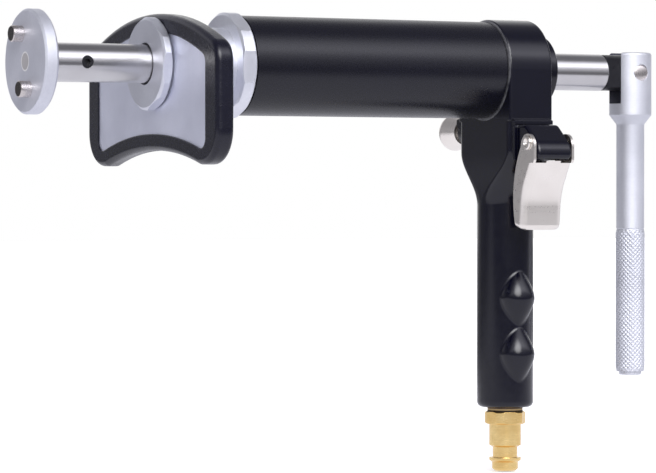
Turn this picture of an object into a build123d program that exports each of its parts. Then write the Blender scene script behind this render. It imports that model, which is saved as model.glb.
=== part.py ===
from build123d import *
import math
import os

os.makedirs("parts", exist_ok=True)

# Pneumatic brake piston retractor, in millimetres.
# The origin is the centre of the adaptor disc's front face. +X runs back along the spindle, +Z is up.
# The trigger is on the -Y side and the release button on the +Y side.

# Clearances shared by the fits
run_fit = 0.05
slide_gap = 0.1
free_gap = 0.3

# Adaptor at the front of the spindle
disc_r = 17.95
disc_t = 5.0
disc_bevel = 0.8
pin_r = 2.83
pin_reach = 4.0
pin_circle_r = 10.0
pin_tilt = 18.3
pin_bevel = 0.4
pin_seat_r = 2.4
pilot_r = 3.35
shank_r = 4.5
shank_len = 18.0
ring_r = 6.45
ring_t = 1.8

# Spindle rod
rod_r = 6.7
rod_bevel = 0.7
socket_spare = 2.0
grub_back = 13.5
grub_r = 2.2
grub_sink = 0.3
grub_key = 2.2
grub_key_depth = 1.5

# Reaction plate, measured about its own middle, which sits to one side of the spindle
plate_reach = 41.5
plate_shift = 3.4
plate_t = 6.7
plate_half = 52.7
plate_top = 17.4
plate_top_r = 116.0
plate_bottom = -35.0
plate_corner = 8.0
plate_foot = 12.0
foot_width = 15.2
notch_top = -29.9
notch_blend = 5.0
plate_round = 2.0
side_rim = 9.3
top_rim = 6.2
notch_rim = 5.7
bottom_rim = 5.4
window_top_r = 102.0
window_corner = 3.5
window_blend = 3.0
core_front_lip = 0.5
core_back_lip = 0.9
core_edge = 2.5

# Hexagon chamfers run this many times further inward than along
chamfer_run = 1.3

# Plate nut
nut_flats = 30.4
nut_trim_r = 16.1
nut_bevel = 0.75
nut_turn = 7.4
nut_hex_t = 3.6
nut_collar_t = 0.6
nut_collar_r = 11.0
nut_lip_t = 1.4
nut_gap = 0.6

# Front cap
nose_r = 10.0
neck_r = 13.0
neck_len = 19.9
neck_seat = 1.6
flange_flats = 35.1
flange_trim_r = 18.4
flange_bevel = 0.7
flange_turn = 3.5
flange_t = 5.4
cap_spigot = 9.0

# Barrel
barrel_r = 17.5
bore_r = 15.0
barrel_len = 100.25
gasket_t = 0.5

# Bushes and rod seals
bush_wall = 2.0
rod_pass = 0.5
wiper_t = 3.4
seal_t = 4.0
seal_wall = 4.0

# Housing and pistol grip
housing_len = 17.85
housing_r = 18.4
housing_round = 1.0
ledge_z = -18.5
block_half = 18.9
block_corner = 3.3
block_bottom = -29.5
grip_r = 10.2
grip_top = -48.5
grip_bottom = -122.4
grip_round = 2.0
spigot_len = 8.0
lip_reach = 1.2
lip_top = -18.5
lip_t = 1.4
far_lip_reach = 2.7
far_lip_top = -17.6
far_lip_t = 2.2
far_lip_drop = 2.8
bump_r = 6.55
bump_half = 10.6
bump_waist = 5.0
bump_slope = 0.714
bump_sink = 2.2
bump_blend = 1.2
bump_heights = (-82.5, -103.0)

# Rear gland
gland_r = 12.75
gland_flange = 6.1
gland_spigot = 8.1
gland_lip = 1.0
gland_bevel = 0.6

# Piston and return spring
stroke = 27.0
piston_len = 16.0
pocket_r = 9.6
pocket_t = 2.4
washer_t = 1.0
clip_t = 1.2
clip_depth = 0.7
clip_mouth = 5.0
seal_share = 0.25
guide_share = 0.55
piston_seal_t = 3.4
piston_seal_depth = 3.0
guide_t = 4.0
guide_depth = 1.6
stop_wall = 1.5
spring_wire = 1.8
spring_turns = 9

# Crank
crank_gap = 4.35
head_r = 7.8
head_top = 7.5
head_bevel = 0.8
head_bottom = -15.6
taper_bottom = -18.8
crank_rod_r = 5.17
knurl_r = 5.37
knurl_top = -57.8
knurl_bottom = -110.7
crank_end = -112.0
crank_end_r = 4.1
fork_floor = -11.4
fork_slot = 7.8
tang_neck = 5.35
tang_half = 6.6
tang_stub_r = 4.5
tang_stub = 12.0
crank_pin_r = 3.0
crank_pin_sink = 0.1

# Trigger, bracket and trigger valve
pivot_y = -29.3
pivot_z = -26.6
pivot_r = 1.5
pivot_head_r = 2.5
pivot_head_t = 0.7
pivot_bevel = 0.3
dimple_r = 1.5
dimple_floor_r = 0.7
dimple_depth = 1.0
lever_width = 16.8
lever_sheet = 1.0
lever_corner = 2.8
lever_lip = 2.0
skin_slope = 1.25
tab_half = 3.0
tab_rise = 0.7
lever_bottom = -58.3
face_top = -33.8
ear_r = 4.5
ear_drop = 1.3
face_bend_y = -27.0
face_bend_z = -45.0
face_foot_y = -25.6
face_curve = 20.0
top_curve = 1.5
flange_mid_y = -19.7
flange_mid_z = -43.5
flange_foot_y = -21.2
foot_rise = 1.2
bracket_half = 7.1
bracket_top = -20.1
bracket_bottom = -32.8
bracket_front = -34.7
bracket_crest = -25.6
bracket_brow = -27.5
crest_round = 3.0
brow_round = 6.0
bracket_edge = 2.2
bracket_soft = 1.2
pad_half = 8.2
pad_t = 1.4
valve_z = -38.3
sleeve_r = 4.0
sleeve_front = -19.5
sleeve_back = 7.0
stem_r = 2.0
stem_front = -28.88
stem_back = -3.0
guide_len = 7.5
sleeve_floor = 1.0
seal_bore = 0.6
ring_wire = 0.45
ring_back = 1.5
ring_pitch = 3.0
valve_wire = 0.5
valve_turns = 6

# Release valve on the far side
release_z = -22.0
release_bore = 3.6
collar_r = 5.0
collar_len = 7.0
collar_thread_r = 4.2
collar_depth = 11.0
button_gap = 3.2
button_root_r = 4.6
button_cone = 6.8
button_r = 6.7
button_head = 2.2
button_round = 2.0
hub_r = 3.2
hub_depth = 1.6
stem_end = 3.0
clip_bite = 0.4
release_pocket = 10.0
release_wire = 0.7
release_turns = 5
release_clip_t = 0.8

# Air supply
supply_r = 4.5
gallery_r = 1.5
gallery_z = -12.9
thread_r = 5.6
thread_len = 11.2
filter_t = 2.8
washer_ring_r = 6.4
inlet_washer_t = 1.5
inlet_flats = 14.0
inlet_hex_t = 4.7
inlet_turn = -15.2
inlet_trim_r = 7.45
inlet_hex_bevel = 0.5
inlet_body_r = 5.8
inlet_body = 7.7
inlet_slope = 0.7
inlet_neck_r = 4.5
inlet_neck = 3.8
inlet_ring_r = 5.8
inlet_ring = 1.7
inlet_ring_taper = 0.8
inlet_nose_r = 4.75
inlet_nose = 3.1
inlet_bevel = 0.8
inlet_bore = 3.2

# Stations along the spindle
rod_front = disc_t + ring_t
plate_front = rod_front + plate_reach
plate_rear = plate_front + plate_t
core_front = plate_front + core_front_lip
core_rear = plate_rear - core_back_lip
nut_front = core_front - nut_collar_t - nut_hex_t
nose_front = nut_front + nut_lip_t
flange_front = core_rear + neck_len
flange_rear = flange_front + flange_t
cap_rear = flange_rear + cap_spigot
barrel_front = flange_rear + gasket_t
barrel_rear = barrel_front + barrel_len
housing_front = barrel_rear + gasket_t
housing_rear = housing_front + housing_len
grip_x = (housing_front + housing_rear) / 2
spigot_front = housing_front - spigot_len
piston_rear = spigot_front - free_gap
piston_front = piston_rear - piston_len
stop_rear = piston_front - stroke - free_gap
gland_front = housing_rear - gland_spigot
gland_rear = housing_rear + gland_flange
head_front = gland_rear + stroke + crank_gap
crank_x = head_front + head_r
rod_rear = head_front - tang_neck
bush_r = rod_r + bush_wall
notch_half = plate_half - foot_width

low = (Align.CENTER, Align.CENTER, Align.MIN)


# A shaft between two stations along X, Y or Z
def shaft_x(start, end, radius):
    return Pos(start, 0, 0) * Rot(0, 90, 0) * Cylinder(radius, end - start, align=low)


def shaft_y(start, end, radius, x, z):
    return Pos(x, start, z) * Rot(-90, 0, 0) * Cylinder(radius, end - start, align=low)


def shaft_z(start, end, radius, x, y):
    return Pos(x, y, start) * Cylinder(radius, end - start, align=low)


def tube_x(start, end, outer, inner):
    return shaft_x(start, end, outer) - shaft_x(start, end, inner)


def tube_y(start, end, outer, inner, x, z):
    return shaft_y(start, end, outer, x, z) - shaft_y(start, end, inner, x, z)


# A turned piece from (station, radius) pairs, closed onto its axis
def turned(profile):
    first = (profile[0][0], 0)
    last = (profile[-1][0], 0)
    outline = Polyline([first] + list(profile) + [last], close=True)
    return revolve(make_face(outline), Axis.X)


def turned_y(profile, x, z):
    return Pos(x, 0, z) * Rot(0, 0, 90) * turned(profile)


def turned_z(profile, x, y):
    return Pos(x, y, 0) * Rot(0, -90, 0) * turned(profile)


# A hexagon with a corner uppermost before it is turned about its axis
def hexagon(across_flats, turn):
    return Rot(0, 0, turn) * RegularPolygon(across_flats / 2, 6, major_radius=False, rotation=30)


def hex_x(start, end, across_flats, trim_r, bevel, turn):
    prism = extrude(Plane.YZ.offset(start) * hexagon(across_flats, turn), end - start)
    inner = trim_r - bevel * chamfer_run
    ends = [(start, inner), (start + bevel, trim_r), (end - bevel, trim_r), (end, inner)]
    return prism & turned(ends)


# A split retaining ring about the X axis, its mouth downward
def clip_x(start, end, outer, inner):
    ring = tube_x(start, end, outer, inner)
    mouth = Pos((start + end) / 2, 0, -outer) * Box(end - start, clip_mouth, outer)
    return ring - mouth


# A coil spring along +X made of tangent arcs, two to each half turn
def coil(radius, wire, length, turns):
    rise = (length - wire) / turns
    halves = turns * 2
    spots = []
    ways = []
    for step in range(halves + 1):
        angle = math.pi * step
        x = wire / 2 + rise * step / 2
        spots.append(Vector(x, radius * math.cos(angle), radius * math.sin(angle)))
        way = Vector(rise / (2 * math.pi), -radius * math.sin(angle), radius * math.cos(angle))
        ways.append(way.normalized())
    edges = []
    for step in range(halves):
        start, end = spots[step], spots[step + 1]
        leave, arrive = ways[step], ways[step + 1]
        span = end - start
        slope = leave + arrive
        square = 2 * (1 - leave.dot(arrive))
        cross = span.dot(slope)
        reach = (math.sqrt(cross * cross + square * span.dot(span)) - cross) / square
        middle = (start + end + (leave - arrive) * reach) / 2
        edges.append(TangentArc(start, middle, tangent=leave))
        edges.append(TangentArc(middle, end, tangent=(end - start - slope * reach)))
    path = Wire(edges)
    section = Plane(origin=spots[0], z_dir=ways[0]) * Circle(wire / 2)
    print("coil gap", round(rise - wire, 2))
    return sweep(section, path)


# Outline of the plate: a bowed top, straight sides and a bowed notch between two feet
def plate_outline(half, top, top_r, bottom, corner, foot, notch, notch_span, blend):
    shoulder = top - top_r + math.sqrt(top_r ** 2 - half ** 2)
    edges = [
        ThreePointArc((-half, shoulder), (0, top), (half, shoulder)),
        Line((half, shoulder), (half, bottom)),
        Line((half, bottom), (notch_span, bottom)),
        ThreePointArc((notch_span, bottom), (0, notch), (-notch_span, bottom)),
        Line((-notch_span, bottom), (-half, bottom)),
        Line((-half, bottom), (-half, shoulder)),
    ]
    face = make_face(edges)
    upper = [v for v in face.vertices() if v.Y > bottom + 1]
    face = fillet(upper, corner)
    outer = [v for v in face.vertices() if v.Y < bottom + 0.1 and abs(v.X) > half - 0.1]
    face = fillet(outer, foot)
    inner = [v for v in face.vertices() if v.Y < bottom + 0.1 and abs(abs(v.X) - notch_span) < 0.1]
    return fillet(inner, blend)


def window_outline(grow):
    half = plate_half - side_rim + grow
    bottom = plate_bottom + bottom_rim - grow
    foot = window_corner + grow
    notch = notch_top + notch_rim - grow
    span = half - foot - 1
    return plate_outline(half, plate_top - top_rim + grow, window_top_r, bottom, foot, foot,
                         notch, span, window_blend)


def plate_slab(outline, start, end):
    return extrude(Plane.YZ.offset(start) * (Pos(plate_shift, 0) * outline), end - start)


# Adaptor disc with two drive pins, its shank, and the ring behind it
def pin_spots():
    tilt = math.radians(pin_tilt)
    y = pin_circle_r * math.sin(tilt)
    z = pin_circle_r * math.cos(tilt)
    return [(y, z), (-y, -z)]


def make_adaptor_disc():
    body = turned([(0, disc_r - disc_bevel), (disc_bevel, disc_r),
                   (disc_t - disc_bevel, disc_r), (disc_t, disc_r - disc_bevel)])
    body -= shaft_x(0, disc_t, pilot_r)
    for y, z in pin_spots():
        body -= Pos(0, y, z) * shaft_x(0, disc_t, pin_seat_r)
    return body


def make_adaptor_pins():
    pin = turned([(-pin_reach, pin_r - pin_bevel), (-pin_reach + pin_bevel, pin_r),
                  (0, pin_r), (0, pin_seat_r), (disc_t, pin_seat_r)])
    return Compound([Pos(0, y, z) * pin for y, z in pin_spots()])


def make_adaptor_shank():
    return shaft_x(0, disc_t, pilot_r) + shaft_x(disc_t, disc_t + shank_len, shank_r)


def make_adaptor_ring():
    return tube_x(disc_t, rod_front, ring_r, shank_r)


# Spindle rod with the adaptor socket in front and the tang socket behind
def grub_x():
    return rod_front + grub_back


def clip_stations():
    front_washer = piston_front + pocket_t - run_fit - washer_t
    rear_washer = piston_rear - pocket_t + run_fit
    return front_washer - clip_t, front_washer, rear_washer, rear_washer + washer_t


def make_spindle_rod():
    rod = turned([(rod_front, rod_r - rod_bevel), (rod_front + rod_bevel, rod_r),
                  (rod_rear - rod_bevel, rod_r), (rod_rear, rod_r - rod_bevel)])
    rod -= shaft_x(rod_front, disc_t + shank_len + socket_spare, shank_r + run_fit)
    rod -= shaft_y(-rod_r - 1, -shank_r + 1, grub_r, grub_x(), 0)
    rod -= shaft_x(rod_rear - tang_stub, rod_rear, tang_stub_r)
    front_clip, front_washer, rear_washer, rear_clip = clip_stations()
    for start in (front_clip, rear_clip):
        rod -= tube_x(start, start + clip_t, rod_r + 1, rod_r - clip_depth)
    return rod


def make_grub_screw():
    screw = shaft_y(-rod_r + grub_sink, -shank_r, grub_r, grub_x(), 0)
    key = extrude(Plane.XZ * RegularPolygon(grub_key / 2, 6, major_radius=False), -grub_key_depth)
    return screw - Pos(grub_x(), -rod_r + grub_sink, 0) * key


def make_rod_clips():
    front_clip, front_washer, rear_washer, rear_clip = clip_stations()
    clip = clip_x(0, clip_t, pocket_r - free_gap, rod_r - clip_depth)
    return Compound([Pos(front_clip, 0, 0) * clip, Pos(rear_clip, 0, 0) * clip])


def make_thrust_washers():
    front_clip, front_washer, rear_washer, rear_clip = clip_stations()
    washer = tube_x(0, washer_t, pocket_r - free_gap, rod_r + run_fit)
    return Compound([Pos(front_washer, 0, 0) * washer, Pos(rear_washer, 0, 0) * washer])


def make_hinge_tang():
    thick = fork_slot - 2 * slide_gap
    bar = Pos((rod_rear + crank_x) / 2, 0, 0) * Box(crank_x - rod_rear, thick, 2 * tang_half)
    bar += shaft_y(-thick / 2, thick / 2, tang_half, crank_x, 0)
    bar = bar & shaft_x(rod_rear, crank_x + tang_half, tang_half)
    bar += shaft_x(rod_rear - tang_stub, rod_rear, tang_stub_r)
    return bar - shaft_y(-thick, thick, crank_pin_r + run_fit, crank_x, 0)


# Crank handle: forked head, taper, plain rod and knurled grip
def make_crank_handle():
    profile = [(crank_end, crank_end_r), (knurl_bottom, crank_end_r), (knurl_bottom, knurl_r),
               (knurl_top, knurl_r), (knurl_top, crank_rod_r), (taper_bottom, crank_rod_r),
               (head_bottom, head_r), (head_top - head_bevel, head_r), (head_top, head_r - head_bevel)]
    handle = turned_z(profile, crank_x, 0)
    slot_height = head_top - fork_floor
    handle -= Pos(crank_x, 0, fork_floor + slot_height / 2) * Box(3 * head_r, fork_slot, slot_height)
    return handle - shaft_y(-head_r - 1, head_r + 1, crank_pin_r, crank_x, 0)


def make_crank_pin():
    pin = shaft_y(-head_r, head_r, crank_pin_r, crank_x, 0)
    return pin & Pos(crank_x, 0, 0) * Sphere(head_r - crank_pin_sink)


# Reaction plate: bright core, moulded surround and the nut that holds it on the cap's nose
def make_plate_core():
    slab = plate_slab(window_outline(core_edge), core_front, core_rear)
    return slab - shaft_x(core_front, core_rear, nose_r)


def make_plate_surround():
    outline = plate_outline(plate_half, plate_top, plate_top_r, plate_bottom, plate_corner, plate_foot,
                            notch_top, notch_half, notch_blend)
    slab = plate_slab(outline, plate_front, plate_rear)
    faces = slab.faces().sort_by(Axis.X)
    slab = fillet(faces[0].edges() + faces[-1].edges(), plate_round)
    slab -= plate_slab(window_outline(0), plate_front, plate_rear)
    return slab - plate_slab(window_outline(core_edge), core_front, core_rear)


def make_plate_nut():
    collar_front = core_front - nut_collar_t
    nut = hex_x(nut_front, collar_front, nut_flats, nut_trim_r, nut_bevel, nut_turn)
    nut += shaft_x(collar_front, core_front, nut_collar_r)
    nut -= shaft_x(nut_front, nose_front, rod_r + nut_gap)
    return nut - shaft_x(nose_front, core_front, nose_r)


# Front cap with its nose, neck, hex flange and the spigot inside the barrel
def make_front_cap():
    cap = shaft_x(nose_front, core_rear, nose_r)
    cap += shaft_x(core_rear, core_rear + neck_seat, nut_collar_r)
    cap += shaft_x(core_rear + neck_seat, flange_front, neck_r)
    cap += hex_x(flange_front, flange_rear, flange_flats, flange_trim_r, flange_bevel, flange_turn)
    cap += shaft_x(flange_rear, cap_rear, bore_r)
    cap -= shaft_x(nose_front, flange_rear, bush_r)
    return cap - shaft_x(flange_rear, cap_rear, rod_r + rod_pass)


def make_front_wiper():
    return tube_x(nose_front, nose_front + wiper_t, bush_r, rod_r + run_fit)


def make_front_bush():
    return tube_x(nose_front + wiper_t, flange_rear, bush_r, rod_r + run_fit)


def make_front_gasket():
    return tube_x(flange_rear, barrel_front, barrel_r - housing_round, bore_r)


def make_barrel():
    return tube_x(barrel_front, barrel_rear, barrel_r, bore_r)


def make_rear_gasket():
    return tube_x(barrel_rear, housing_front, barrel_r - housing_round, bore_r)


def stop_outer():
    return pocket_r + stop_wall


def make_stop_tube():
    return tube_x(cap_rear, stop_rear, stop_outer(), pocket_r)


def make_return_spring():
    radius = (stop_outer() + bore_r) / 2
    spring = coil(radius, spring_wire, piston_front - cap_rear - slide_gap, spring_turns)
    return Pos(cap_rear, 0, 0) * spring


# Piston with a pocket in each face for the washers that carry the turning rod
def piston_grooves():
    seal = piston_front + piston_len * seal_share
    guide = piston_front + piston_len * guide_share
    return seal, guide


def make_piston():
    body = tube_x(piston_front, piston_rear, bore_r - slide_gap, rod_r + run_fit)
    body -= shaft_x(piston_front, piston_front + pocket_t, pocket_r)
    body -= shaft_x(piston_rear - pocket_t, piston_rear, pocket_r)
    seal, guide = piston_grooves()
    body -= tube_x(seal, seal + piston_seal_t, bore_r, bore_r - piston_seal_depth)
    return body - tube_x(guide, guide + guide_t, bore_r, bore_r - guide_depth)


def make_piston_seal():
    seal, guide = piston_grooves()
    return tube_x(seal, seal + piston_seal_t, bore_r - run_fit, bore_r - piston_seal_depth)


def make_piston_guide():
    seal, guide = piston_grooves()
    return tube_x(guide, guide + guide_t, bore_r - run_fit, bore_r - guide_depth)


# Housing: round top, square block, shoulders that draw in to a round grip with two finger bumps
def shoulder_section(share):
    smooth = share * share * (3 - 2 * share)
    half_x = housing_len / 2 + (grip_r - housing_len / 2) * smooth
    half_y = block_half + (grip_r - block_half) * smooth
    corner = block_corner + (grip_r * 0.995 - block_corner) * smooth
    height = block_bottom + (grip_top - block_bottom) * share
    return Pos(grip_x, 0, height) * RectangleRounded(2 * half_x, 2 * half_y, corner)


def make_bump(height):
    points = []
    for step in range(-3, 4):
        along = bump_half * step / 3
        points.append((along, bump_r - bump_slope * (math.hypot(bump_waist, along) - bump_waist)))
    axis = Polyline(points[0], (-bump_half, 0), (bump_half, 0), points[-1])
    bump = revolve(make_face([Spline(*points), axis]), Axis.X)
    return Pos(grip_x, bump_sink - grip_r, height) * Rot(0, 90, 0) * bump


def make_lip(side, reach, top, thick, drop):
    root = side * (housing_r - 1)
    edge = side * (block_half + reach)
    under = top - thick
    corners = [(root, top + 1), (edge, top), (edge, under), (root, under - drop)]
    outline = make_face(Polyline(corners, close=True))
    return extrude(Plane.YZ.offset(housing_front + housing_round) * outline, housing_len - 2 * housing_round)


def make_grip_housing():
    upper = shaft_x(housing_front, housing_rear, housing_r)
    upper += Pos(grip_x, 0, ledge_z / 2) * Box(housing_len, 2 * housing_r, -ledge_z)
    crown = [e for e in upper.edges() if e.geom_type == GeomType.CIRCLE]
    upper = fillet(crown, housing_round)
    block = extrude(shoulder_section(0), ledge_z - block_bottom)
    shoulders = loft([shoulder_section(step / 8) for step in range(9)])
    grip = extrude(shoulder_section(1), grip_bottom - grip_top)
    grip = fillet(grip.faces().sort_by(Axis.Z)[0].edges(), grip_round)
    smooth = grip.edges()
    for height in bump_heights:
        grip += make_bump(height)
    grip = fillet(grip.edges() - smooth, bump_blend)
    body = upper + block + shoulders + grip
    body += make_lip(-1, lip_reach, lip_top, lip_t, 0)
    body += make_lip(1, far_lip_reach, far_lip_top, far_lip_t, far_lip_drop)
    body -= shaft_y(block_half, block_half + 2 * far_lip_reach, collar_r, grip_x, release_z)
    body += shaft_x(spigot_front, housing_front, bore_r)
    body -= shaft_x(spigot_front, housing_rear, rod_r + rod_pass)
    body -= shaft_x(gland_front - seal_t, housing_rear, rod_r + seal_wall)
    body -= shaft_z(grip_bottom, valve_z, supply_r, grip_x, 0)
    body -= shaft_z(grip_bottom, grip_bottom + thread_len + filter_t, thread_r, grip_x, 0)
    body -= shaft_y(-block_half, sleeve_back, sleeve_r, grip_x, valve_z)
    body -= shaft_z(valve_z, gallery_z, gallery_r, grip_x, 0)
    body -= Pos(0, 0, gallery_z) * shaft_x(spigot_front, grip_x, gallery_r)
    body -= shaft_y(-release_bore, block_half, release_bore, grip_x, release_z)
    return body - shaft_y(block_half - collar_depth, block_half + 1, collar_thread_r, grip_x, release_z)


# Rear gland, which closes on the rod seal and carries the rear bush
def make_rear_gland():
    gland = shaft_x(gland_front, housing_rear, rod_r + seal_wall)
    gland += turned([(housing_rear, gland_r), (gland_rear - gland_bevel, gland_r),
                     (gland_rear, gland_r - gland_bevel)])
    gland -= shaft_x(gland_front, gland_rear - gland_lip, bush_r)
    return gland - shaft_x(gland_rear - gland_lip, gland_rear, rod_r + rod_pass)


def make_rear_bush():
    return tube_x(gland_front, gland_rear - gland_lip, bush_r, rod_r + run_fit)


def make_rear_seal():
    return tube_x(gland_front - seal_t, gland_front, rod_r + seal_wall, rod_r + run_fit)


# Trigger bracket and its pivot pin
def bracket_block():
    corners = [(-block_half, bracket_bottom), (-block_half, bracket_top), (bracket_crest, bracket_top),
               (bracket_front, bracket_brow), (bracket_front, bracket_bottom)]
    outline = make_face(Polyline(corners, close=True))
    for (y, z), round_r in zip(corners[2:], (crest_round, brow_round, bracket_edge)):
        corner = outline.vertices().sort_by_distance((y, z, 0))[0]
        outline = fillet(corner, round_r)
    body = extrude(Plane.YZ.offset(grip_x - bracket_half) * outline, 2 * bracket_half)
    ends = [f for f in body.faces() if abs(abs(f.center().X - grip_x) - bracket_half) < 0.01]
    rim = [e for f in ends for e in f.edges()
           if e.center().Y < -block_half - 0.01 and e.center().Z > bracket_bottom + 0.01]
    return fillet(rim, bracket_soft)


def make_trigger_bracket():
    height = bracket_top - bracket_bottom
    body = bracket_block()
    pad_y = -block_half - pad_t / 2
    body += Pos(grip_x, pad_y, bracket_bottom + height / 2) * Box(2 * pad_half, pad_t, height)
    return body - Pos(grip_x, pivot_y, pivot_z) * Rot(0, 90, 0) * Cylinder(pivot_r, 3 * bracket_half)


def make_trigger_pin():
    half = lever_width / 2 + slide_gap
    full = half + pivot_head_t
    end = [(full - dimple_depth, dimple_floor_r), (full, dimple_r), (full, pivot_head_r - pivot_bevel),
           (full - pivot_bevel, pivot_head_r), (half, pivot_head_r), (half, pivot_r)]
    profile = [(-x, r) for x, r in end] + end[::-1]
    return Pos(grip_x, pivot_y, pivot_z) * turned(profile)


# Trigger lever: a folded sheet with two ears on the pin, a hollowed face and side flanges
def lever_front(shift):
    ear_y = pivot_y - ear_r
    points = [(ear_y + shift, pivot_z - ear_drop), (ear_y + shift, face_top + 1),
              (face_bend_y + shift, face_bend_z), (face_foot_y + shift, lever_bottom)]
    return FilletPolyline(points, radius=(top_curve, face_curve))


# The long edges down both sides of the face
def side_edges(solid):
    found = []
    for edge in solid.edges():
        middle = edge @ 0.5
        across = abs((edge % 0.5).X) > 0.1
        level = abs((edge % 0.5).Z) < 0.1
        if not across and not level and middle.Y < face_foot_y:
            found.append(edge)
    return found


def make_trigger_lever():
    front = lever_front(0)
    ear_z = pivot_z - ear_drop
    inner_top = (pivot_y + ear_r, ear_z)
    inner_foot = (flange_foot_y, lever_bottom + foot_rise)
    ear = ThreePointArc(front @ 0, (pivot_y, ear_z + ear_r), inner_top)
    flange = ThreePointArc(inner_top, (flange_mid_y, flange_mid_z), inner_foot)
    foot = Line(inner_foot, front @ 1)
    outline = make_face([front, ear, flange, foot])
    solid = extrude(Plane.YZ.offset(grip_x - lever_width / 2) * outline, lever_width)
    skin = lever_front(lever_sheet * skin_slope)
    over_z = pivot_z + 2 * ear_r
    front_y = pivot_y - 2 * ear_r
    back_y = pivot_y + 4 * ear_r
    rim = [skin @ 1, (back_y, lever_bottom), (back_y, over_z), (front_y, over_z),
           (front_y, face_top), skin @ 0]
    width = lever_width - 2 * lever_sheet
    hollow = make_face([skin, Polyline(rim)])
    hollow = extrude(Plane.YZ.offset(grip_x - width / 2) * hollow, width)
    high = over_z - face_top
    over = Pos(grip_x, (front_y + back_y) / 2, face_top + high / 2) * Box(width, back_y - front_y, high)
    over -= Pos(grip_x, front_y, face_top) * Box(2 * tab_half, 2 * (pivot_y - front_y), 2 * tab_rise)
    deep = face_top - lever_bottom
    below = Pos(grip_x, (front_y + back_y) / 2, face_top - deep / 2)
    floor = below * Pos(0, 0, lever_sheet / 2) * Box(2 * lever_width, back_y - front_y, deep - lever_sheet)
    below = below * Box(2 * lever_width, back_y - front_y, deep)
    face = fillet(side_edges(solid & below), lever_corner)
    lip = face.faces().sort_by(Axis.Z)[0].edges().sort_by(Axis.Y)[:-1]
    face = fillet(lip, lever_lip)
    face -= fillet(side_edges(hollow & floor), lever_corner - lever_sheet)
    ears = solid - below - hollow - over
    hole = Pos(grip_x, pivot_y, pivot_z) * Rot(0, 90, 0) * Cylinder(pivot_r + run_fit, 2 * lever_width)
    return face + ears - hole


# Trigger valve in the shoulder of the housing
def make_valve_sleeve():
    sleeve = shaft_y(sleeve_front, sleeve_back, sleeve_r, grip_x, valve_z)
    sleeve -= shaft_y(sleeve_front, sleeve_front + guide_len, stem_r + run_fit, grip_x, valve_z)
    return sleeve - shaft_y(sleeve_front + guide_len, sleeve_back - sleeve_floor, stem_r + seal_bore,
                            grip_x, valve_z)


def stem_ring_spots():
    return (stem_back - ring_back, stem_back - ring_back - ring_pitch)


def make_valve_stem():
    stem = turned_y([(stem_front, stem_r * 0.5), (stem_front + stem_r * 0.5, stem_r), (stem_back, stem_r)],
                    grip_x, valve_z)
    for y in stem_ring_spots():
        stem -= tube_y(y - ring_wire, y + ring_wire, stem_r + 1, stem_r - ring_wire, grip_x, valve_z)
    return stem


def make_stem_rings():
    ring = Rot(90, 0, 0) * Torus(stem_r, ring_wire)
    return Compound([Pos(grip_x, y, valve_z) * ring for y in stem_ring_spots()])


def make_valve_spring():
    length = sleeve_back - sleeve_floor - stem_back - slide_gap
    spring = coil(stem_r - valve_wire / 2, valve_wire, length, valve_turns)
    return Pos(grip_x, stem_back + slide_gap / 2, valve_z) * Rot(0, 0, 90) * spring


# Release valve: collar bush, button, seal ring, spring and retaining clip
def collar_back():
    return block_half + collar_len


def collar_front_y():
    return block_half - collar_depth


def make_release_collar():
    collar = shaft_y(collar_front_y(), block_half, collar_thread_r, grip_x, release_z)
    collar += shaft_y(block_half, collar_back(), collar_r, grip_x, release_z)
    collar -= shaft_y(collar_front_y(), collar_back(), stem_r + run_fit, grip_x, release_z)
    pocket_y = collar_back() - release_pocket
    return collar - shaft_y(pocket_y, collar_back(), hub_r + free_gap, grip_x, release_z)


def make_release_button():
    root = collar_back() + button_gap
    rim = root + button_cone
    profile = [(stem_end, stem_r), (collar_back() - hub_depth, stem_r), (collar_back() - hub_depth, hub_r),
               (root, hub_r), (root, button_root_r), (rim, button_r), (rim + button_head, button_r)]
    button = turned_y(profile, grip_x, release_z)
    button = fillet(button.edges().sort_by(Axis.Y)[-1:], button_round)
    clip_y = collar_front_y() - slide_gap - release_clip_t
    return button - tube_y(clip_y, clip_y + release_clip_t, stem_r + 1, stem_r - clip_bite,
                           grip_x, release_z)


def make_release_clip():
    clip_y = collar_front_y() - slide_gap - release_clip_t
    clip = tube_y(clip_y, clip_y + release_clip_t, release_bore - free_gap, stem_r - clip_bite,
                  grip_x, release_z)
    mouth = Pos(grip_x, clip_y + release_clip_t / 2, release_z - release_bore)
    return clip - mouth * Box(stem_r, release_clip_t, release_bore)


def make_release_spring():
    start = collar_back() - release_pocket
    length = collar_back() - hub_depth - start - slide_gap
    radius = (stem_r + hub_r + free_gap) / 2
    return Pos(grip_x, start, release_z) * Rot(0, 0, 90) * coil(radius, release_wire, length, release_turns)


# Air inlet under the grip
def make_inlet_filter():
    base = grip_bottom + thread_len
    return shaft_z(base, base + filter_t, thread_r - slide_gap, grip_x, 0)


def make_inlet_washer():
    ring = shaft_z(grip_bottom - inlet_washer_t, grip_bottom, washer_ring_r, grip_x, 0)
    return ring - shaft_z(grip_bottom - inlet_washer_t, grip_bottom, thread_r, grip_x, 0)


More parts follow.
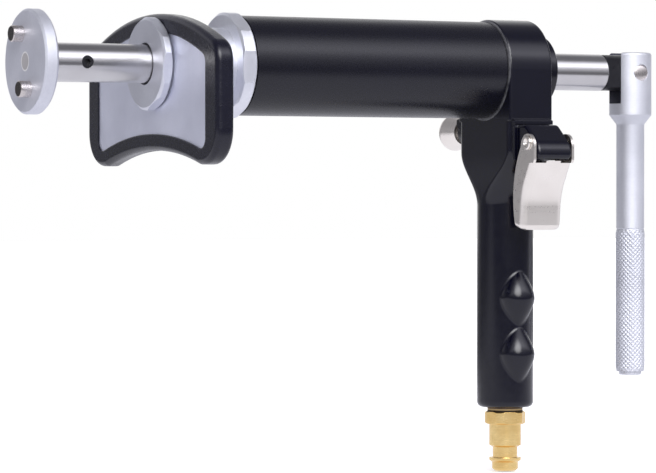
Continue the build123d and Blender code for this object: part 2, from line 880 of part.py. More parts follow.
def make_air_plug():
    hex_top = grip_bottom - inlet_washer_t
    body_top = hex_top - inlet_hex_t
    slope_top = body_top - inlet_body
    neck_top = slope_top - inlet_slope
    ring_top = neck_top - inlet_neck
    nose_top = ring_top - inlet_ring
    tip = nose_top - inlet_nose
    profile = [(tip, inlet_nose_r - inlet_bevel), (tip + inlet_bevel, inlet_nose_r),
               (nose_top, inlet_nose_r), (nose_top + inlet_ring_taper, inlet_ring_r),
               (ring_top, inlet_ring_r), (ring_top, inlet_neck_r), (neck_top, inlet_neck_r),
               (slope_top, inlet_body_r), (body_top, inlet_body_r)]
    plug = turned_z(profile, grip_x, 0)
    prism = Rot(0, -90, 0) * hex_x(body_top, hex_top, inlet_flats, inlet_trim_r, inlet_hex_bevel, inlet_turn)
    plug += Pos(grip_x, 0, 0) * prism
    plug += shaft_z(hex_top, grip_bottom + thread_len, thread_r, grip_x, 0)
    return plug - shaft_z(tip, grip_bottom + thread_len, inlet_bore, grip_x, 0)


makers = {
    "adaptor_disc": make_adaptor_disc,
    "adaptor_pins": make_adaptor_pins,
    "adaptor_shank": make_adaptor_shank,
    "adaptor_ring": make_adaptor_ring,
    "spindle_rod": make_spindle_rod,
    "grub_screw": make_grub_screw,
    "rod_clips": make_rod_clips,
    "thrust_washers": make_thrust_washers,
    "hinge_tang": make_hinge_tang,
    "crank_handle": make_crank_handle,
    "crank_pin": make_crank_pin,
    "plate_core": make_plate_core,
    "plate_surround": make_plate_surround,
    "plate_nut": make_plate_nut,
    "front_cap": make_front_cap,
    "front_wiper": make_front_wiper,
    "front_bush": make_front_bush,
    "front_gasket": make_front_gasket,
    "barrel": make_barrel,
    "rear_gasket": make_rear_gasket,
    "stop_tube": make_stop_tube,
    "return_spring": make_return_spring,
    "piston": make_piston,
    "piston_seal": make_piston_seal,
    "piston_guide": make_piston_guide,
    "grip_housing": make_grip_housing,
    "rear_gland": make_rear_gland,
    "rear_bush": make_rear_bush,
    "rear_seal": make_rear_seal,
    "trigger_bracket": make_trigger_bracket,
    "trigger_pin": make_trigger_pin,
    "trigger_lever": make_trigger_lever,
    "valve_sleeve": make_valve_sleeve,
    "valve_stem": make_valve_stem,
    "stem_rings": make_stem_rings,
    "valve_spring": make_valve_spring,
    "release_collar": make_release_collar,
    "release_button": make_release_button,
    "release_clip": make_release_clip,
    "release_spring": make_release_spring,
    "inlet_filter": make_inlet_filter,
    "inlet_washer": make_inlet_washer,
    "air_plug": make_air_plug,
}

for node, maker in makers.items():
    shape = maker()
    print(node, round(shape.volume, 2), len(shape.solids()), shape.is_valid)
    export_step(shape, f"parts/{node}.step")

print("grip axis x", grip_x, "crank x", crank_x, "stop", stop_rear)
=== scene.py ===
import math

import bmesh
import bpy
from mathutils import Matrix, Vector


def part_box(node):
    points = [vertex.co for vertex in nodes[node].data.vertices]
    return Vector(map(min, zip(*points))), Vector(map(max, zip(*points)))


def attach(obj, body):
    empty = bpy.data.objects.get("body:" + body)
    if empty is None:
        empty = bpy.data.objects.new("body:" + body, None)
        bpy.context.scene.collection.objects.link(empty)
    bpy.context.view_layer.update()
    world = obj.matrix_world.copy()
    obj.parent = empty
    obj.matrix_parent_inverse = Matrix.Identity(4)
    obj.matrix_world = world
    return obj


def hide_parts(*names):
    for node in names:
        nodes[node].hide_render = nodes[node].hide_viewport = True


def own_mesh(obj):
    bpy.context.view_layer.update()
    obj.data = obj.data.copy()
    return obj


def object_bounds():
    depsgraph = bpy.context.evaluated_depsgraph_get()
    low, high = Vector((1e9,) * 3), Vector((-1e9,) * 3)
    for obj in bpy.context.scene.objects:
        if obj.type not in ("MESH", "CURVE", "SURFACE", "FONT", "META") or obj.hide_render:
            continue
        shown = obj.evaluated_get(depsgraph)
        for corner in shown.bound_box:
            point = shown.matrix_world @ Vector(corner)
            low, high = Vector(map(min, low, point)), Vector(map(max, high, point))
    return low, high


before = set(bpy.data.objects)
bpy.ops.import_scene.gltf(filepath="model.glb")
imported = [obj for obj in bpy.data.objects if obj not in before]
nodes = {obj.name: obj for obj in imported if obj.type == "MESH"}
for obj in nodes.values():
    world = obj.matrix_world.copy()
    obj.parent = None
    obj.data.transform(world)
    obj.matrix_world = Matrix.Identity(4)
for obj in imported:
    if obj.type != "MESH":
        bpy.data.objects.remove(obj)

scene = bpy.context.scene
scene.view_settings.view_transform = "Standard"
cadLow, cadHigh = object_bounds()
mm = 0.001

# lines that the pieces are turned about: the spindle along X, the grip and the crank upright,
# the release button across the grip
alongX, alongY, alongZ = 0, 1, 2
gripX = sum(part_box("air_plug")[i].x for i in (0, 1)) / 2
crankX = sum(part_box("crank_pin")[i].x for i in (0, 1)) / 2
releaseZ = -22.0 * mm
spindleLine, gripLine, crankLine = (0, 0, 0), (gripX, 0, 0), (crankX, 0, 0)
releaseLine = (gripX, 0, releaseZ)

noiseLow, noiseHigh = 0.3, 0.7  # values between which a noise texture mostly stays
edgeSamples = 4


# node helpers
def add(tree, kind, inputs=None, **settings):
    made = tree.nodes.new("ShaderNode" + kind)
    for key, value in settings.items():
        setattr(made, key, value)
    for key, value in (inputs or {}).items():
        if isinstance(value, bpy.types.NodeSocket):
            tree.links.new(value, made.inputs[key])
        else:
            made.inputs[key].default_value = value
    return made


def startFinish(name):
    material = bpy.data.materials.new(name)
    material.use_nodes = True
    tree = material.node_tree
    tree.nodes.clear()
    shader = add(tree, "BsdfPrincipled")
    out = add(tree, "OutputMaterial")
    tree.links.new(shader.outputs["BSDF"], out.inputs["Surface"])
    return material, tree, shader


def spotOf(tree):
    return add(tree, "TexCoord").outputs["Object"]


def partsOf(tree, vector):
    return add(tree, "SeparateXYZ", {"Vector": vector}).outputs


def vectors(tree, first, second, how):
    return add(tree, "VectorMath", {0: first, 1: second}, operation=how).outputs["Vector"]


def facing(tree, first, second):
    made = add(tree, "VectorMath", {0: first, 1: second}, operation="DOT_PRODUCT")
    return made.outputs["Value"]


# position along a turned piece and distance from its axis, so tool marks run round it
def latheSpot(tree, axis, centre):
    moved = vectors(tree, spotOf(tree), centre, "SUBTRACT")
    across = tuple(0.0 if i == axis else 1.0 for i in range(3))
    radial = vectors(tree, moved, across, "MULTIPLY")
    radius = add(tree, "VectorMath", {0: radial}, operation="LENGTH").outputs["Value"]
    along = partsOf(tree, moved)[axis]
    return add(tree, "CombineXYZ", {"X": along, "Y": radius}).outputs["Vector"]


def noise(tree, vector, scale, detail, rough=0.5):
    inputs = {"Vector": vector, "Scale": scale, "Detail": detail, "Roughness": rough}
    return add(tree, "TexNoise", inputs).outputs["Fac"]


def span(tree, value, low, high, fromLow=noiseLow, fromHigh=noiseHigh):
    inputs = {"Value": value, "From Min": fromLow, "From Max": fromHigh, "To Min": low, "To Max": high}
    return add(tree, "MapRange", inputs).outputs["Result"]


def tint(tree, amount, first, second):
    made = add(tree, "Mix", data_type="RGBA")
    tree.links.new(amount, made.inputs["Factor"])
    for name, value in (("A", first), ("B", second)):
        socket = [s for s in made.inputs if s.name == name and s.type == "RGBA"][0]
        if isinstance(value, bpy.types.NodeSocket):
            tree.links.new(value, socket)
        else:
            socket.default_value = (*value, 1.0)
    return [s for s in made.outputs if s.type == "RGBA"][0]


def softEdge(tree, radius):
    return add(tree, "Bevel", {"Radius": radius}, samples=edgeSamples).outputs["Normal"]


def bump(tree, height, strength, distance, normal=None):
    inputs = {"Height": height, "Strength": strength, "Distance": distance}
    if normal is not None:
        inputs["Normal"] = normal
    return add(tree, "Bump", inputs).outputs["Normal"]


def both(tree, first, second, how="MULTIPLY"):
    return add(tree, "Math", {0: first, 1: second}, operation=how).outputs["Value"]


# 1 between low and high, 0 outside, with a soft step at both ends
def within(tree, value, low, high, soft):
    up = span(tree, value, 0.0, 1.0, low - soft, low + soft)
    down = span(tree, value, 1.0, 0.0, high - soft, high + soft)
    return both(tree, up, down)


# metal with fine marks round its turning axis, a slow colour drift and rounded edges
turned = {
    "markDetail": 3.0, "markRough": 0.6, "markDepth": 0.02 * mm,
    "grainDetail": 4.0, "grainRough": 0.65, "grainDepth": 0.03 * mm, "driftDetail": 2.0,
}


def turnedMetal(name, look, axis, centre):
    material, tree, shader = startFinish(name)
    lathe = latheSpot(tree, axis, centre)
    marks = noise(tree, lathe, look["marks"], turned["markDetail"], turned["markRough"])
    drift = noise(tree, spotOf(tree), look["drift"], turned["driftDetail"])
    grain = noise(tree, spotOf(tree), look["grain"], turned["grainDetail"], turned["grainRough"])
    colour = tint(tree, span(tree, drift, 0.0, 1.0), look["light"], look["deep"])
    colour = tint(tree, span(tree, grain, 0.0, look["mottle"]), colour, look["deep"])
    tree.links.new(colour, shader.inputs["Base Color"])
    rough = both(tree, span(tree, marks, *look["rough"]), span(tree, grain, 0.0, look["haze"]), "ADD")
    tree.links.new(rough, shader.inputs["Roughness"])
    rounded = softEdge(tree, look["edge"]) if look["edge"] else None
    normal = bump(tree, marks, look["bump"], turned["markDepth"], rounded)
    normal = bump(tree, grain, look["grainBump"], turned["grainDepth"], normal)
    tree.links.new(normal, shader.inputs["Normal"])
    shader.inputs["Metallic"].default_value = 1.0
    return material, tree, shader, colour


# paint, rubber, plastic and blackened steel: a grain, a ripple, a slow drift and a thin dusty sheen
coat = {
    "grainDetail": 3.0, "grainRough": 0.6, "grainDepth": 0.04 * mm, "peelDetail": 2.0, "peelDepth": 0.1 * mm,
    "driftDetail": 3.0, "sheenRough": 0.25, "sheenTint": (0.93, 0.92, 1.0),
}


def coatedFinish(name, look):
    material, tree, shader = startFinish(name)
    spot = spotOf(tree)
    grain = noise(tree, spot, look["grain"], coat["grainDetail"], coat["grainRough"])
    peel = noise(tree, spot, look["peel"], coat["peelDetail"])
    drift = noise(tree, spot, look["drift"], coat["driftDetail"])
    colour = tint(tree, span(tree, drift, 0.0, 1.0), look["deep"], look["light"])
    tree.links.new(colour, shader.inputs["Base Color"])
    rough = both(tree, span(tree, peel, *look["rough"]), span(tree, grain, 0.0, look["haze"]), "ADD")
    tree.links.new(rough, shader.inputs["Roughness"])
    normal = bump(tree, peel, look["peelBump"], coat["peelDepth"], softEdge(tree, look["edge"]))
    normal = bump(tree, grain, look["grainBump"], coat["grainDepth"], normal)
    tree.links.new(normal, shader.inputs["Normal"])
    shader.inputs["Specular IOR Level"].default_value = look["gloss"]
    shader.inputs["Sheen Weight"].default_value = look["sheen"]
    shader.inputs["Sheen Roughness"].default_value = coat["sheenRough"]
    shader.inputs["Sheen Tint"].default_value = (*coat["sheenTint"], 1.0)
    return material, tree, shader, colour


# bright satin plating of the disc, nut, cap and plate
zincLook = {
    "light": (0.76, 0.77, 0.83), "deep": (0.66, 0.67, 0.73), "mottle": 0.35,
    "marks": 2600.0, "drift": 70.0, "grain": 900.0,
    "rough": (0.42, 0.52), "haze": 0.08, "bump": 0.12, "grainBump": 0.12, "edge": 0.35 * mm,
}
nutZinc = turnedMetal("satinZinc", zincLook, alongX, spindleLine)[0]
discLook = dict(zincLook, rough=(0.52, 0.60), grainBump=0.10)
discZinc = turnedMetal("discZinc", discLook, alongX, spindleLine)[0]
capLook = dict(zincLook, light=(0.85, 0.86, 0.91), deep=(0.74, 0.75, 0.81), mottle=0.45,
               marks=1800.0, rough=(0.40, 0.52), grainBump=0.16)
capZinc = turnedMetal("capZinc", capLook, alongX, spindleLine)[0]
plateLook = dict(zincLook, light=(0.81, 0.825, 0.92), deep=(0.73, 0.745, 0.84), mottle=0.2,
                 marks=300.0, rough=(0.50, 0.56), bump=0.02, grainBump=0.06)
plateZinc = turnedMetal("plateZinc", plateLook, alongX, spindleLine)[0]

# ground rod: fine marks round it draw its reflections out along the rod
rodLook = dict(zincLook, light=(0.62, 0.615, 0.625), deep=(0.57, 0.56, 0.565), mottle=0.1,
               marks=5200.0, rough=(0.21, 0.25), haze=0.02, bump=0.015, grainBump=0.006, edge=0.2 * mm,
               smear=0.85, smearTurn=0.25)


def makeGroundSteel():
    material, tree, shader = turnedMetal("groundSteel", rodLook, alongX, spindleLine)[:3]
    marksWay = add(tree, "Tangent", direction_type="RADIAL", axis="X")
    tree.links.new(marksWay.outputs["Tangent"], shader.inputs["Tangent"])
    shader.inputs["Anisotropic"].default_value = rodLook["smear"]
    shader.inputs["Anisotropic Rotation"].default_value = rodLook["smearTurn"]
    return material


groundSteel = makeGroundSteel()

# crank's satin steel, a little darker in the knurl
crankLook = dict(zincLook, light=(0.76, 0.77, 0.82), deep=(0.68, 0.69, 0.74), mottle=0.2,
                 marks=3400.0, rough=(0.53, 0.61), bump=0.10, grainBump=0.06, edge=0.3 * mm)
knurlLook = dict(crankLook, light=(0.72, 0.73, 0.78), deep=(0.64, 0.65, 0.70), rough=(0.56, 0.64))
knurlSatin = turnedMetal("knurlSatin", knurlLook, alongZ, crankLine)[0]

# warm nickel of the trigger and the release button
nickelLook = {
    "light": (0.94, 0.895, 0.835), "deep": (0.87, 0.82, 0.76), "mottle": 0.05,
    "marks": 500.0, "drift": 90.0, "grain": 1600.0,
    "rough": (0.25, 0.31), "haze": 0.03, "bump": 0.01, "grainBump": 0.012, "edge": 0.0,
}
triggerNickel = turnedMetal("triggerNickel", nickelLook, alongZ, gripLine)[0]
buttonLook = dict(nickelLook, marks=3000.0, bump=0.1)
buttonNickel = turnedMetal("buttonNickel", buttonLook, alongY, releaseLine)[0]

# brass plug, and the bronze, alloy and spring wire inside
brassLook = {
    "light": (0.95, 0.72, 0.33), "deep": (0.82, 0.55, 0.20), "mottle": 0.3,
    "marks": 2400.0, "drift": 160.0, "grain": 1200.0,
    "rough": (0.15, 0.25), "haze": 0.06, "bump": 0.14, "grainBump": 0.05, "edge": 0.25 * mm,
}
turnedBrass = turnedMetal("turnedBrass", brassLook, alongZ, gripLine)[0]
bronzeLook = dict(brassLook, light=(0.50, 0.31, 0.15), deep=(0.36, 0.21, 0.10), mottle=0.6,
                  rough=(0.4, 0.55))
porousBronze = turnedMetal("porousBronze", bronzeLook, alongX, spindleLine)[0]
alloyLook = dict(zincLook, light=(0.62, 0.63, 0.65), deep=(0.52, 0.53, 0.55), mottle=0.15)
turnedAlloy = turnedMetal("turnedAlloy", alloyLook, alongX, spindleLine)[0]
springLook = dict(zincLook, light=(0.42, 0.43, 0.46), deep=(0.30, 0.31, 0.33), marks=900.0,
                  rough=(0.25, 0.4))
springWire = turnedMetal("springWire", springLook, alongX, spindleLine)[0]

# fine-grained black of the barrel, with the bluish tone that all the black pieces have
barrelLook = {
    "deep": (0.0007, 0.0007, 0.0050), "light": (0.0013, 0.0013, 0.0070), "gloss": 0.5, "sheen": 0.05,
    "grain": 3800.0, "peel": 1500.0, "drift": 45.0,
    "rough": (0.23, 0.30), "haze": 0.05, "peelBump": 0.16, "grainBump": 0.35, "edge": 0.3 * mm,
}
barrelPaint = coatedFinish("barrelPaint", barrelLook)[0]

# smooth paint of the cast housing, with a painted highlight: a thin grey line on the rim that meets the
# barrel
housingLook = dict(barrelLook, deep=(0.0005, 0.0005, 0.0052), light=(0.0010, 0.0011, 0.0075),
                   peel=420.0, grain=2600.0, rough=(0.12, 0.17), haze=0.04, peelBump=0.10,
                   grainBump=0.16, edge=0.5 * mm)
paintedRimLook = {
    "half": 0.32 * mm, "reach": (16.9 * mm, 18.3 * mm), "soft": 0.15 * mm, "paintedRimLight": (0.16, 0.16, 0.17),
    "patch": 260.0, "patchDetail": 3.0, "patchLeast": 0.35,
}


def makeHousingPaint():
    material, tree, shader, colour = coatedFinish("housingPaint", housingLook)
    rimLine = (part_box("rear_gasket")[1].x, 0, 0)
    parts = partsOf(tree, latheSpot(tree, alongX, rimLine))
    edge = within(tree, parts["X"], -paintedRimLook["half"], paintedRimLook["half"], paintedRimLook["soft"])
    outer = within(tree, parts["Y"], *paintedRimLook["reach"], paintedRimLook["soft"])
    patches = noise(tree, spotOf(tree), paintedRimLook["patch"], paintedRimLook["patchDetail"])
    # painted highlight along the rim that meets the barrel, broken into patches by noise
    paintedRimLight = both(tree, both(tree, edge, outer), span(tree, patches, paintedRimLook["patchLeast"], 1.0))
    tree.links.new(tint(tree, paintedRimLight, colour, paintedRimLook["paintedRimLight"]), shader.inputs["Base Color"])
    return material


housingPaint = makeHousingPaint()

# rubber surround, blackened steel, and the seals
surroundLook = dict(barrelLook, deep=(0.0020, 0.0020, 0.0085), light=(0.0036, 0.0036, 0.0125),
                    peel=600.0, rough=(0.18, 0.26), haze=0.05, peelBump=0.10, grainBump=0.15,
                    edge=0.6 * mm)
surroundRubber = coatedFinish("surroundRubber", surroundLook)[0]
oxideLook = dict(barrelLook, deep=(0.003, 0.003, 0.006), light=(0.007, 0.0065, 0.010), peel=700.0,
                 rough=(0.26, 0.40), peelBump=0.08, grainBump=0.2, edge=0.3 * mm)
blackOxide = coatedFinish("blackOxide", oxideLook)[0]
sealLook = dict(barrelLook, deep=(0.014, 0.014, 0.015), light=(0.022, 0.022, 0.023),
                rough=(0.5, 0.62), sheen=0.05)
sealRubber = coatedFinish("sealRubber", sealLook)[0]
plasticLook = dict(barrelLook, deep=(0.55, 0.53, 0.47), light=(0.64, 0.62, 0.56),
                   rough=(0.36, 0.46), grainBump=0.1, sheen=0.0)
sealPlastic = coatedFinish("sealPlastic", plasticLook)[0]

# sealing washer: fibre above, a thin brass face in the middle, a dark joint below,
# with their heights as shares of the washer's thickness
fibreLook = dict(barrelLook, deep=(0.085, 0.045, 0.028), light=(0.15, 0.085, 0.05),
                 rough=(0.5, 0.62), drift=300.0, sheen=0.0)
washerBands = {
    "bright": (0.62, 0.45, 0.20), "face": (0.30, 0.62), "faceSoft": 0.05,
    "shade": (0.012, 0.008, 0.006), "joint": (0.18, 0.26),
}


def makeSealFibre():
    material, tree, shader, colour = coatedFinish("sealFibre", fibreLook)
    low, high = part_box("inlet_washer")
    share = span(tree, partsOf(tree, spotOf(tree))["Z"], 0.0, 1.0, low.z, high.z)
    face = within(tree, share, *washerBands["face"], washerBands["faceSoft"])
    colour = tint(tree, face, colour, washerBands["bright"])
    joint = span(tree, share, 1.0, 0.0, *washerBands["joint"])
    colour = tint(tree, joint, colour, washerBands["shade"])
    tree.links.new(colour, shader.inputs["Base Color"])
    return material


sealFibre = makeSealFibre()

# drive pins: bright ground sides and dull dark ends
pinLook = dict(zincLook, light=(0.70, 0.66, 0.64), deep=(0.58, 0.54, 0.52), marks=3000.0,
               rough=(0.18, 0.28), edge=0.2 * mm)
pinEnd = {"dull": (0.07, 0.062, 0.060), "before": 1 * mm, "depth": 0.12 * mm, "soft": 0.05 * mm}


def makePinSteel():
    material, tree, shader, colour = turnedMetal("pinSteel", pinLook, alongX, spindleLine)
    along = partsOf(tree, spotOf(tree))["X"]
    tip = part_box("adaptor_pins")[0].x
    end = within(tree, along, tip - pinEnd["before"], tip + pinEnd["depth"], pinEnd["soft"])
    tree.links.new(tint(tree, end, colour, pinEnd["dull"]), shader.inputs["Base Color"])
    return material


pinSteel = makePinSteel()

# shank end, flush in the disc: a warm face inside a thin painted highlight ring
shankLook = dict(zincLook, light=(0.70, 0.68, 0.68), deep=(0.63, 0.61, 0.61), rough=(0.5, 0.58))
shankHighlightRing = {"endR": 3.35 * mm, "wide": 0.5 * mm, "beyond": 1 * mm, "soft": 0.08 * mm,
             "shine": (0.98, 0.97, 0.97)}


def makeShankSteel():
    material, tree, shader, colour = turnedMetal("shankSteel", shankLook, alongX, spindleLine)
    radius = partsOf(tree, latheSpot(tree, alongX, spindleLine))["Y"]
    inner, outer = shankHighlightRing["endR"] - shankHighlightRing["wide"], shankHighlightRing["endR"] + shankHighlightRing["beyond"]
    # painted highlight: a thin near-white ring round the edge of the shank's end
    ring = within(tree, radius, inner, outer, shankHighlightRing["soft"])
    tree.links.new(tint(tree, ring, colour, shankHighlightRing["shine"]), shader.inputs["Base Color"])
    return material


shankSteel = makeShankSteel()

# crank finish: turned about its own axis, with painted shade darkening the faces inside the fork slot
forkShade = {"half": 3.94 * mm, "halfSoft": 0.01 * mm, "floor": -11.2 * mm, "floorSoft": 0.02 * mm,
            "black": (0.12, 0.12, 0.15)}


def makeCrankFinish():
    material, tree, shader, colour = turnedMetal("crankSatin", crankLook, alongZ, crankLine)
    parts = partsOf(tree, spotOf(tree))
    side = within(tree, parts["Y"], -forkShade["half"], forkShade["half"], forkShade["halfSoft"])
    floor, soft = forkShade["floor"], forkShade["floorSoft"]
    above = span(tree, parts["Z"], 0.0, 1.0, floor - soft, floor + soft)
    # painted shade: the faces inside the fork slot are made near black
    fork = both(tree, side, above)
    tree.links.new(tint(tree, fork, colour, forkShade["black"]), shader.inputs["Base Color"])
    return material


crankSatin = makeCrankFinish()

finishOf = {
    discZinc: ["adaptor_disc"],
    nutZinc: ["plate_nut"],
    capZinc: ["front_cap"],
    plateZinc: ["plate_core"],
    shankSteel: ["adaptor_shank"],
    groundSteel: ["spindle_rod", "stop_tube"],
    pinSteel: ["adaptor_pins", "crank_pin"],
    crankSatin: ["crank_handle"],
    triggerNickel: ["trigger_lever", "trigger_pin"],
    buttonNickel: ["release_button"],
    turnedBrass: ["air_plug", "valve_sleeve"],
    porousBronze: ["front_bush", "rear_bush", "inlet_filter"],
    turnedAlloy: ["piston", "valve_stem"],
    springWire: ["return_spring", "valve_spring", "release_spring", "rod_clips", "release_clip",
                 "thrust_washers"],
    barrelPaint: ["barrel"],
    housingPaint: ["grip_housing", "trigger_bracket", "rear_gland"],
    surroundRubber: ["plate_surround"],
    blackOxide: ["adaptor_ring", "hinge_tang", "grub_screw", "release_collar"],
    sealRubber: ["front_wiper", "rear_seal", "piston_seal", "stem_rings", "front_gasket",
                 "rear_gasket"],
    sealPlastic: ["piston_guide"],
    sealFibre: ["inlet_washer"],
}
print("finishes made:", len(finishOf) + 1, "with the knurl's")
dressed = 0
for finish, names in finishOf.items():
    for name in names:
        nodes[name].data.materials.clear()
        nodes[name].data.materials.append(finish)
        dressed += 1
print("nodes dressed:", dressed, "of", len(nodes))


# mesh helpers
def newPiece(name, mesh, finish, body):
    piece = bpy.data.objects.new(name, mesh)
    scene.collection.objects.link(piece)
    mesh.materials.clear()
    mesh.materials.append(finish)
    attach(piece, body)
    return piece


def keepMesh(bm, name):
    mesh = bpy.data.meshes.new(name)
    bm.to_mesh(mesh)
    bm.free()
    return mesh


# side faces between two rings of points
def joinRings(bm, first, second):
    for step in range(len(first)):
        after = (step + 1) % len(first)
        bm.faces.new((first[step], first[after], second[after], second[step]))


def latheMesh(name, profile, centre, sides):
    bm = bmesh.new()
    rings = []
    for height, radius in profile:
        ring = []
        for step in range(sides):
            turn = 2 * math.pi * step / sides
            ring.append(bm.verts.new((centre[0] + radius * math.cos(turn),
                                      centre[1] + radius * math.sin(turn), height)))
        rings.append(ring)
    for lower, upper in zip(rings, rings[1:]):
        joinRings(bm, lower, upper)
    bm.faces.new(rings[0][::-1])
    bm.faces.new(rings[-1])
    return keepMesh(bm, name)


def cutWith(mesh, cutters):
    holder = bpy.data.objects.new("holder", mesh)
    scene.collection.objects.link(holder)
    for cutter in cutters:
        cut = holder.modifiers.new("cut", "BOOLEAN")
        cut.operation = "DIFFERENCE"
        cut.object = cutter
    bpy.context.view_layer.update()
    shaped = holder.evaluated_get(bpy.context.evaluated_depsgraph_get())
    result = bpy.data.meshes.new_from_object(shaped)
    for spare in [holder] + cutters:
        bpy.data.objects.remove(spare)
    return result


def smoothBelow(mesh, degrees):
    bm = bmesh.new()
    bm.from_mesh(mesh)
    for face in bm.faces:
        face.smooth = True
    limit = math.radians(degrees)
    for edge in bm.edges:
        edge.smooth = edge.is_manifold and edge.calc_face_angle(0) < limit
    bm.to_mesh(mesh)
    bm.free()


# crank handle with a forked head and a plain rod down to the knurl, in millimetres
crank = {
    "headR": 7.8, "headTop": 7.5, "headBottom": -15.6, "bevel": 0.8, "taper": -18.8, "rodR": 5.17,
    "knurlTop": -57.8, "knurlBottom": -110.7, "end": -112.0, "endR": 4.1, "sides": 96, "sharp": 28,
    "forkHalf": 3.9, "forkFloor": -11.4, "pinR": 3.0, "pinSides": 64, "cutReach": 12.0, "cutWide": 30,
    "peakR": 5.37, "valleyR": 5.02, "around": 21, "along": 32, "coreDrop": 0.1, "lipDrop": 0.4,
    "lipIn": 0.1, "easeRows": 2,
}


# outline from the end up to the head; each row is where it starts from, the step along,
# the radius and the step out from it
def crankOutline():
    rows = (("end", 0, "endR", -0.5), ("end", 0.15, "endR", -0.15), ("end", 0.5, "endR", 0),
            ("knurlBottom", 0.2, "endR", 0), ("knurlBottom", 0.4, "valleyR", -crank["coreDrop"]),
            ("knurlTop", -0.4, "valleyR", -crank["coreDrop"]),
            ("knurlTop", 0.1, "rodR", -0.15), ("knurlTop", 0.3, "rodR", 0),
            ("taper", -0.5, "rodR", 0), ("taper", 0, "rodR", 0.12),
            ("headBottom", -0.25, "headR", -0.22), ("headBottom", 0.1, "headR", 0),
            ("headTop", -crank["bevel"], "headR", 0), ("headTop", -0.25, "headR", -0.3),
            ("headTop", 0, "headR", -crank["bevel"]))
    return [((crank[start] + step) * mm, (crank[radius] + out) * mm) for start, step, radius, out in rows]


def forkSlotMesh():
    bm = bmesh.new()
    bmesh.ops.create_cube(bm, size=1.0)
    tall = crank["cutReach"] - crank["forkFloor"]
    size = (crank["cutWide"] * mm, 2 * crank["forkHalf"] * mm, tall * mm, 1.0)
    middle = Matrix.Translation((crankX, 0, (crank["forkFloor"] + tall / 2) * mm))
    bm.transform(middle @ Matrix.Diagonal(size))
    return keepMesh(bm, "forkSlot")


def pinHoleMesh():
    reach, radius = crank["cutReach"] * mm, crank["pinR"] * mm
    mesh = latheMesh("pinHole", [(-reach, radius), (reach, radius)], (0, 0), crank["pinSides"])
    mesh.transform(Matrix.Translation(crankLine) @ Matrix.Rotation(math.pi / 2, 4, "X"))
    return mesh


def makeCrankHandle():
    mesh = latheMesh("crankHandle", crankOutline(), crankLine, crank["sides"])
    cutters = []
    for cutMesh in (forkSlotMesh(), pinHoleMesh()):
        cutter = bpy.data.objects.new(cutMesh.name, cutMesh)
        scene.collection.objects.link(cutter)
        cutters.append(cutter)
    mesh = cutWith(mesh, cutters)
    smoothBelow(mesh, crank["sharp"])
    piece = newPiece("crankHandle", mesh, crankSatin, "crank")
    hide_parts("crank_handle")


def knurlPoint(bm, radius, step, height):
    turn = math.pi * step / crank["around"]
    return bm.verts.new(((radius * math.cos(turn)) * mm + crankX, radius * math.sin(turn) * mm,
                         height * mm))


# diamond knurl: a chequer of peaks and valley crossings, so each diamond is a real pyramid
def makeCrankKnurl():
    wide, tall = 2 * crank["around"], 2 * crank["along"]
    low, high = crank["knurlBottom"], crank["knurlTop"]
    valley, rise = crank["valleyR"], crank["peakR"] - crank["valleyR"]
    bm = bmesh.new()
    grid = []
    for row in range(tall + 1):
        height = low + (high - low) * row / tall
        ease = min(1.0, min(row, tall - row) / crank["easeRows"])
        radii = (valley, valley + rise * ease)
        grid.append([knurlPoint(bm, radii[(row + step) % 2], step, height)
                     for step in range(wide)])
    for row, (lower, upper) in enumerate(zip(grid, grid[1:])):
        for step in range(wide):
            after = (step + 1) % wide
            if (row + step) % 2 == 0:
                bm.faces.new((lower[step], lower[after], upper[step]))
                bm.faces.new((lower[after], upper[after], upper[step]))
            else:
                bm.faces.new((lower[step], lower[after], upper[after]))
                bm.faces.new((lower[step], upper[after], upper[step]))
    lipR = valley - crank["lipDrop"]
    bottom = [knurlPoint(bm, lipR, step, low + crank["lipIn"]) for step in range(wide)]
    joinRings(bm, bottom, grid[0])
    top = [knurlPoint(bm, lipR, step, high - crank["lipIn"]) for step in range(wide)]
    joinRings(bm, grid[-1], top)
    bm.normal_update()
    piece = newPiece("crankKnurl", keepMesh(bm, "crankKnurl"), knurlSatin, "crank")


makeCrankHandle()
makeCrankKnurl()
print("crank handle made with", 2 * crank["around"] * crank["along"], "knurl diamonds")

# coil springs, each listed with its joint, the end that stays put and its travel, in millimetres
springs = {
    "return_spring": {"joint": "ram_slide", "axis": alongX, "fixedEnd": 0, "travel": 27.0,
                      "turns": 9, "wire": 1.8},
    "valve_spring": {"joint": "valve_push", "axis": alongY, "fixedEnd": 1, "travel": 1.7,
                     "turns": 6, "wire": 0.5},
    "release_spring": {"joint": "release_press", "axis": alongY, "fixedEnd": 0, "travel": 3.0,
                       "turns": 5, "wire": 0.7},
}
coilSteps, wireSides = 36, 12


# wire wound round the spring's axis, its ends inside the CAD coil's box
def coilMesh(name, s, low, high):
    axis = s["axis"]
    right, up = [i for i in range(3) if i != axis]
    wireR = s["wire"] * mm / 2
    coilR = (high[right] - low[right]) / 2 - wireR
    bm = bmesh.new()
    rings = []
    count = s["turns"] * coilSteps
    for step in range(count + 1):
        turn = 2 * math.pi * step / coilSteps
        along = low[axis] + wireR + (high[axis] - low[axis] - 2 * wireR) * step / count
        ring = []
        for side in range(wireSides):
            lean = 2 * math.pi * side / wireSides
            reach = coilR + wireR * math.cos(lean)
            spot = Vector((0, 0, 0))
            spot[axis] = along + wireR * math.sin(lean)
            spot[right] = (low[right] + high[right]) / 2 + reach * math.cos(turn)
            spot[up] = (low[up] + high[up]) / 2 + reach * math.sin(turn)
            ring.append(bm.verts.new(spot))
        rings.append(ring)
    for first, second in zip(rings, rings[1:]):
        joinRings(bm, first, second)
    bm.faces.new(rings[0])
    bm.faces.new(rings[-1][::-1])
    bmesh.ops.recalc_face_normals(bm, faces=bm.faces)
    for face in bm.faces:
        face.smooth = len(face.verts) == 4
    return keepMesh(bm, name)


